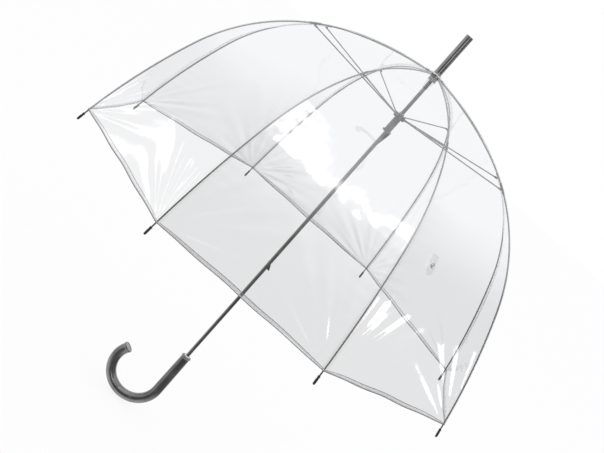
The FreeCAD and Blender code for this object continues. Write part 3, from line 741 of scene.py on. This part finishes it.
def film_columns(half):
    """Places across the gore: close steps over the weld at both edges and even steps between."""
    near = np.array([0.0, 0.8, 1.8, 3.0, 4.0, 4.6]) * MM
    middle = np.linspace(-1, 1, 91)[1:-1] * (half[:, None] - 5.2 * MM)
    left, right = -half[:, None] + near, half[:, None] - near[::-1]
    return np.concatenate([left, middle, right], 1)


def film_points(distance, lift, across, number):
    """Film points of one gore: outwards is the rib's radius times the cosine of half the pitch,
    and the offset is added along the film's own normal."""
    half = gore_half(distance)[:, None]
    offset = film_offset(distance[:, None], across, half, PHASES[number - 1])
    out, up = rib_line(distance[:, None], lift[:, None] + offset)
    return turned_to(gore_azimuth(number), out * math.cos(HALF_PITCH), across, up)


def weld_mark(across, half):
    """1 on the welded edge, fading to 0 where the single film begins."""
    return np.clip((WELD - (half[:, None] - np.abs(across))) / (0.8 * MM), 0, 1)


def painted_weld_edge_line(across, half):
    """A faint painted dark line where the weld ends, painted shade for the light bent at the
    weld's edge: a bell curve of the distance from that place.
    """
    return 0.22 * np.exp(-((half[:, None] - np.abs(across) - WELD) / (0.6 * MM)) ** 2)


def squash_gore(piece):
    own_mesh(piece)


def sheet_size(distance):
    """The flat cut of a band: its widest width, its length and its area."""
    half = gore_half(distance)
    length = float(distance.max() - distance.min())
    order = np.sort(distance)
    area = float(np.trapz(2 * gore_half(order), order))
    return (2 * float(half.max()), length), area


# %% Upper bands
def upper_film(number):
    distance = np.linspace(FILM_START, KNEE, 100)
    half = gore_half(distance)
    across = film_columns(half)
    lift = np.full(len(distance), FILM_LIFT)
    mark = weld_mark(across, half)
    points = film_points(distance, lift, across, number)
    film = make_piece(f"film_{number}_upper", open_grid(points), FILM, f"gore_{number}_upper",
                      [f"gore_{number}_upper"], closed=False, sharp_angle=None,
                      marks={"weld": mark, "line": painted_weld_edge_line(across, half)})
    flat, area = sheet_size(distance)
    squash_gore(film)
    return flat, area


# %% [markdown]
# ## The hem
# At the lower edge the film turns up inside by about seven millimetres and is welded there. It is
# the same sheet, so the mesh runs on round a tight half circle and back up. The fold and the cut
# edge bend the light most, and the two thin dark lines that this makes are painted into the film
# as painted shade; the turn-up is narrowest at the tips, where the folded corners are tucked into
# the caps.

# %% Lower bands with their hem
TURN = 0.45 * MM
HEM_TURNED_UP, NARROWEST = 7 * MM, 0.28


def hem_rows(rows=14):
    """Distance and lift round the fold: sine and cosine of a half turn, then straight back."""
    bend = np.linspace(0, np.pi, 7)
    back = np.linspace(0, 1, rows)[1:]
    share = np.concatenate([np.zeros(7), back])
    drop = np.concatenate([TURN * np.sin(bend), np.zeros(rows - 1)])
    lift = np.concatenate([-TURN * (1 - np.cos(bend)), np.full(rows - 1, -2 * TURN)])
    return drop, lift, share


def lower_film(number):
    body = np.linspace(KNEE, HEM, 112)
    drop, sink, share = hem_rows()
    distance = np.concatenate([body, HEM + drop])
    lift = FILM_LIFT + np.concatenate([np.zeros(len(body)), sink])
    half = gore_half(distance)
    across = film_columns(half)
    edge = across / half[:, None]
    phase = PHASES[number - 1]
    fullness = np.sqrt(np.maximum(1 - edge ** 2, 0))
    turn_up = HEM_TURNED_UP * (NARROWEST + (1 - NARROWEST) * fullness)
    share = np.concatenate([np.zeros(len(body)), share])[:, None]
    rows = distance[:, None] - share * turn_up
    sway = 0.8 * MM * np.sin(9 * edge + phase[5]) * (1 - edge ** 2)
    rows = rows + sway * np.clip((rows - HEM + 0.03) / 0.03, 0, 1)
    offset = film_offset(rows, across, half[:, None], phase)
    out, up = rib_line(rows, lift[:, None] + offset)
    points = turned_to(gore_azimuth(number), out * math.cos(HALF_PITCH), across, up)
    # The fold and the cut edge feed the line mark: painted dark lines, painted shade for the light
    # that the fold and the cut edge bend away.
    fold = np.exp(-((rows - HEM - sway) / (1.0 * MM)) ** 2) * (rows > HEM - 4 * MM)
    cut_edge_painted_line = 0.8 * np.clip((share - 0.80) / 0.08, 0, 1) * np.ones_like(edge)
    line = np.maximum(np.maximum(fold, cut_edge_painted_line), painted_weld_edge_line(across, half))
    weld = np.maximum(weld_mark(across, half), 0.8 * (share > 0) * np.ones_like(edge))
    # The lower band takes the darker copy of the film: painted shade over the lower canopy.
    film = make_piece(f"film_{number}_lower", open_grid(points), SKIRT_FILM_PAINTED_DARKER,
                      f"gore_{number}_lower", [f"gore_{number}_lower"],
                      closed=False, sharp_angle=None, marks={"weld": weld, "line": line})
    turned = np.concatenate([body, [HEM + HEM_TURNED_UP]])
    flat, area = sheet_size(turned)
    squash_gore(film)
    return flat, area


for gore in range(1, RIBS + 1):
    upper_size, lower_size = upper_film(gore), lower_film(gore)
print("upper band flat", upper_size, "lower band flat", lower_size)

# %% [markdown]
# ## Tie strap and snap
# A short strap of the same film is welded to one gore and carries half of a press stud. It keeps
# the furled canopy closed. The stud is turned: a domed rim, a dished middle and a small boss.

# %% Strap and snap
STRAP_GORE = 8
STRAP_START, STRAP_END, STRAP_SIDE = 398 * MM, 432 * MM, -68 * MM
STRAP_HALF, STRAP_LIFT, SNAP_LIFT = 8 * MM, 3.1 * MM, 3.3 * MM


def strap():
    """A strip that follows the gore; its half width shrinks as a square root at the round end."""
    distance = np.linspace(STRAP_START, STRAP_END, 40)
    to_end = np.clip((STRAP_END - distance) / STRAP_HALF, 0.0, 1)
    half = STRAP_HALF * np.sqrt(np.maximum(1 - (1 - to_end) ** 2, 0.0004))
    edge = np.linspace(-1, 1, 21)
    across = STRAP_SIDE + edge * half[:, None]
    out, up = rib_line(distance, STRAP_LIFT)
    top = turned_to(gore_azimuth(STRAP_GORE), (out * math.cos(HALF_PITCH))[:, None], across,
                    up[:, None])
    into = 0.6 * ((distance - STRAP_START) < 5 * MM)[:, None] * np.ones_like(across)
    # The strap's edges get the line mark too: a painted dark edge line, painted shade for light
    # bent at the cut edges.
    rim = 0.5 * (np.abs(edge) > 0.94)[None, :] * np.ones_like(across)
    band = make_piece("tie_strap_band", open_grid(top), STRAP_FILM, "gore_8_lower",
                      ["tie_strap"], closed=False, sharp_angle=None,
                      marks={"weld": into, "line": rim})
    squash_gore(band)


def snap():
    """The stud's outline turned about the film's normal at the middle of the strap."""
    low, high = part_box("strap_snap")
    middle, gore = (STRAP_START + STRAP_END) / 2, gore_azimuth(STRAP_GORE)
    foot_out, foot_up = rib_line(middle, SNAP_LIFT)
    top_out, top_up = rib_line(middle, SNAP_LIFT + MM)
    share = math.cos(HALF_PITCH)
    foot = turned_to(gore, foot_out * share, STRAP_SIDE, foot_up)
    ahead = turned_to(gore, top_out * share, STRAP_SIDE, top_up)
    outline = np.array([(0, 0), (4.6, 0), (5.0, 0.3), (5.0, 0.8), (4.5, 1.3), (3.6, 1.5),
                        (2.9, 1.2), (2.2, 1.1), (1.7, 1.3), (1.5, 2.0), (1.0, 2.25),
                        (0, 2.3)]) * MM
    rings = lathe(softened(outline, 0.3 * MM, loop=False), foot, ahead - foot, 40)
    stud = make_piece("strap_snap_stud", skin(rings, capped=False), SNAP_METAL, "gore_8_lower",
                      ["strap_snap"])
    squash_gore(stud)
    print("snap spans", round((high - low).length, 4))


strap()
snap()

# %% [markdown]
# ## Handle
# The handle is one smooth tube: a straight grip that widens a little downwards, then a hook of a
# bit more than half a turn. Its two ends flare to a rim. One radius along one line describes it,
# and the mouth at the top turns inwards to the shaft, where a small white bush closes it.

# %% Hook handle
BEND, SWEEP = 49.5 * MM, math.radians(207)
GRIP_TOP, GRIP_FOOT = CROWN - 681 * MM, CROWN - 769 * MM
GRIP_NECK, GRIP_BODY, GRIP_END = 8.7 * MM, 9.7 * MM, 9.8 * MM
LIP, LIP_AT, LIP_WIDE, MOUTH_ROUND = 1.1 * MM, 1.6 * MM, 1.5 * MM, 1.2 * MM


def handle_line(distance):
    """Down the shaft, then round the hook's circle towards minus X."""
    straight = GRIP_TOP - GRIP_FOOT
    turn = np.maximum(distance - straight, 0) / BEND
    x = -BEND + BEND * np.cos(turn)
    z = np.where(distance < straight, GRIP_TOP - distance, GRIP_FOOT - BEND * np.sin(turn))
    return np.stack([x, np.zeros_like(x), z], -1)


def handle():
    length = (GRIP_TOP - GRIP_FOOT) + BEND * SWEEP
    steps = np.concatenate([np.linspace(0, 8, 15)[:-1] * MM,
                            np.linspace(8 * MM, length, 150)])
    taper = np.interp(steps, [0, GRIP_TOP - GRIP_FOOT, length],
                      [GRIP_NECK, GRIP_BODY, GRIP_END])
    lip = LIP * np.exp(-((steps - LIP_AT) / LIP_WIDE) ** 2)
    into = np.clip(steps / MOUTH_ROUND, 0, 1)
    roll = np.sqrt(into * (2 - into))
    outer = (taper + lip) * (0.90 + 0.10 * roll)
    inward = np.array([3.6, 3.6, 5.2, 6.4, 7.2]) * MM
    depth = np.array([3.0, 0.9, 0.5, 0.15, 0.02]) * MM
    line = np.concatenate([np.stack([0 * depth, 0 * depth, GRIP_TOP - depth], -1),
                           handle_line(steps)])
    radius = np.concatenate([inward, outer])
    turn = np.linspace(0, 2 * np.pi, 40, endpoint=False)
    fine = np.linspace(0, length, 400)
    along = np.gradient(handle_line(fine), axis=0)
    along /= np.linalg.norm(along, axis=1)[:, None]
    at = np.concatenate([np.zeros(len(inward)), steps])
    tangent = np.stack([np.interp(at, fine, along[:, k]) for k in range(3)], -1)
    normal = np.cross(tangent, (0.0, 1.0, 0.0))
    rings = (line[:, None] + (radius[:, None] * np.cos(turn))[..., None] * np.array([0, 1.0, 0])
             + (radius[:, None] * np.sin(turn))[..., None] * normal[:, None])
    make_piece("handle_hook", skin(rings), GUNMETAL, "shaft", ["handle"])
    return handle_line(np.array([length]))[0], tangent[-1]


def hook_cap(foot, ahead):
    """A flared end turned about the hook's last direction, with a dished face."""
    outline = np.array([(0, -0.5), (9.4, -0.5), (9.9, 0.2), (10.5, 1.4), (10.6, 2.4),
                        (10.6, 4.2), (10.1, 5.0), (8.9, 5.0), (8.3, 4.4), (5.0, 4.2),
                        (0, 4.2)]) * MM
    rings = lathe(softened(outline, 0.5 * MM, 5, loop=False), foot, ahead, 64)
    make_piece("hook_end_cap", skin(rings, capped=False), GUNMETAL, "shaft",
               ["handle_end_cap"])


hook_cap(*handle())
make_piece("grip_bush", turned_ring(WASHER_BORE, 5.6 * MM, GRIP_TOP - 0.8 * MM,
                                    GRIP_TOP + 1.8 * MM, 0.7 * MM),
           WHITE_PLASTIC, "shaft")
print("handle made")

# %% [markdown]
# ## Studio
# Clear film and polished metal are lit by what they reflect. The background is plain white, and
# a shell that only reflections can see stands round the object: bright above, below and behind,
# and darker at the sides and in front, with a few bright panels in it. The film then darkens
# softly towards its rims, and the metal gets its dark bands.

# %% White surroundings and the pale floor
def stage_piece(name, shape, finish):
    mesh = bpy.data.meshes.new(name)
    mesh.from_pydata(shape[0].tolist(), [], shape[1])
    shade(mesh)
    mesh.materials.append(finish)
    thing = bpy.data.objects.new(name, mesh)
    bpy.context.scene.collection.objects.link(thing)
    return thing


world = bpy.data.worlds.new("white_room")
bpy.context.scene.world = world
world.use_nodes = True
world.node_tree.nodes["Background"].inputs["Color"].default_value = grey(1.0)
world.node_tree.nodes["Background"].inputs["Strength"].default_value = 1.0


def floor_finish():
    b = Finish("pale_floor")
    soft = b.node("ShaderNodeBsdfDiffuse", None, {"Color": grey(0.9)})
    glow = b.node("ShaderNodeEmission", None, {"Color": grey(1.0), "Strength": 1.0})
    return b.finished(b.node("ShaderNodeMixShader", None, {0: 0.86, 1: soft, 2: glow}))


def shell_finish():
    """Bright overhead, underneath and behind, half lit on the left; dark on the right and dim
    in front."""
    b = Finish("studio_shell")
    x, y, z = (b.node("ShaderNodeSeparateXYZ", None, {"Vector": b.place}, out=k)
               for k in "XYZ")
    steep = b.node("ShaderNodeMath", {"operation": "ABSOLUTE"}, {0: z})
    share = (steep.rising(2.2, 5.6) + y.rising(2.0, 5.6) + 0.7 * (0.0 - x).rising(2.5, 6.5)
             + 0.12 * (0.0 - y).rising(3.0, 6.5) + 0.2 * x.rising(3.0, 6.5)).capped()
    tone = b.tint(share, grey(0.035), grey(1.0))
    return b.finished(b.node("ShaderNodeEmission", None, {"Color": tone, "Strength": 1.0}))


FLOOR_RADIUS, SHELL_RADIUS, NEAR_AXIS = 12.0, 7, 0.0001


def make_stage():
    floor_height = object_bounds()[0].z - 2 * MM
    disc = lathe([(NEAR_AXIS, floor_height), (FLOOR_RADIUS, floor_height)], around=96)
    floor = stage_piece("pale_floor", skin(disc, capped=False), floor_finish())
    floor.visible_glossy = False
    rise = np.linspace(-math.pi / 2, math.pi / 2, 25)
    ball = np.stack([SHELL_RADIUS * np.cos(rise) + NEAR_AXIS, SHELL_RADIUS * np.sin(rise)], -1)
    shell = stage_piece("studio_shell", skin(lathe(ball, around=48), capped=False),
                        shell_finish())
    shell.visible_camera = shell.visible_diffuse = shell.visible_shadow = False
    shell.visible_transmission = False


make_stage()


# %% Bright panels
def panel(name, at, target, wide, tall, radiance, lean=0):
    """An area light aimed at a point; its power is the radiance times its area times pi."""
    lamp = bpy.data.lights.new(name, "AREA")
    lamp.shape, lamp.size, lamp.size_y = "RECTANGLE", wide, tall
    lamp.energy = radiance * wide * tall * math.pi
    thing = bpy.data.objects.new(name, lamp)
    thing.location = at
    aim = (Vector(target) - Vector(at)).to_track_quat("-Z", "Y").to_matrix()
    thing.rotation_euler = (aim @ Matrix.Rotation(math.radians(lean), 3, "Z")).to_euler()
    thing.visible_camera = thing.visible_transmission = False
    bpy.context.scene.collection.objects.link(thing)


MIDDLE = (0, 0, 0.45)
for pane in range(5):
    panel(f"window_pane_{pane}", (0.05 + 0.10 * pane, -2.25, 2.8), (0, -0.3, 0.6), 0.040, 1.6,
          2.6, lean=-8)
panel("side_window", (2.6, 0.33, 0.72), MIDDLE, 0.40, 0.30, 1.7)
panel("high_right", (1.5, -0.4, 2.6), (0, 0, 0), 0.25, 1.0, 2.4)
panel("left_strip", (-2.8, 0.1, 0.35), MIDDLE, 0.10, 0.8, 0.8)
panel("front_right", (1.1, -3.1, 0.8), MIDDLE, 0.6, 2.0, 1.6)

# %% [markdown]
# ## Camera
# The umbrella is seen from a little above and leaning, with the handle low on the left. The lean
# is a roll of the camera, so the umbrella itself stays upright on its axis in the model.

# %% Camera
TARGET = Vector((0, 0, 0.3686))
AWAY, RISE, ROLL = 1.987, math.radians(11.68), math.radians(41.58)
ahead = Vector((0, math.cos(RISE), -math.sin(RISE)))
camera = bpy.data.objects.new("camera", bpy.data.cameras.new("camera"))
camera.data.lens, camera.data.sensor_width = 66.7, 36.0
camera.location = TARGET - ahead * AWAY
level = ahead.to_track_quat("-Z", "Y").to_matrix()
camera.rotation_euler = (level @ Matrix.Rotation(ROLL, 3, "Z")).to_euler()
bpy.context.scene.collection.objects.link(camera)
bpy.context.scene.camera = camera
bpy.context.scene.view_settings.view_transform = "Standard"
bpy.context.scene.view_settings.look = "None"
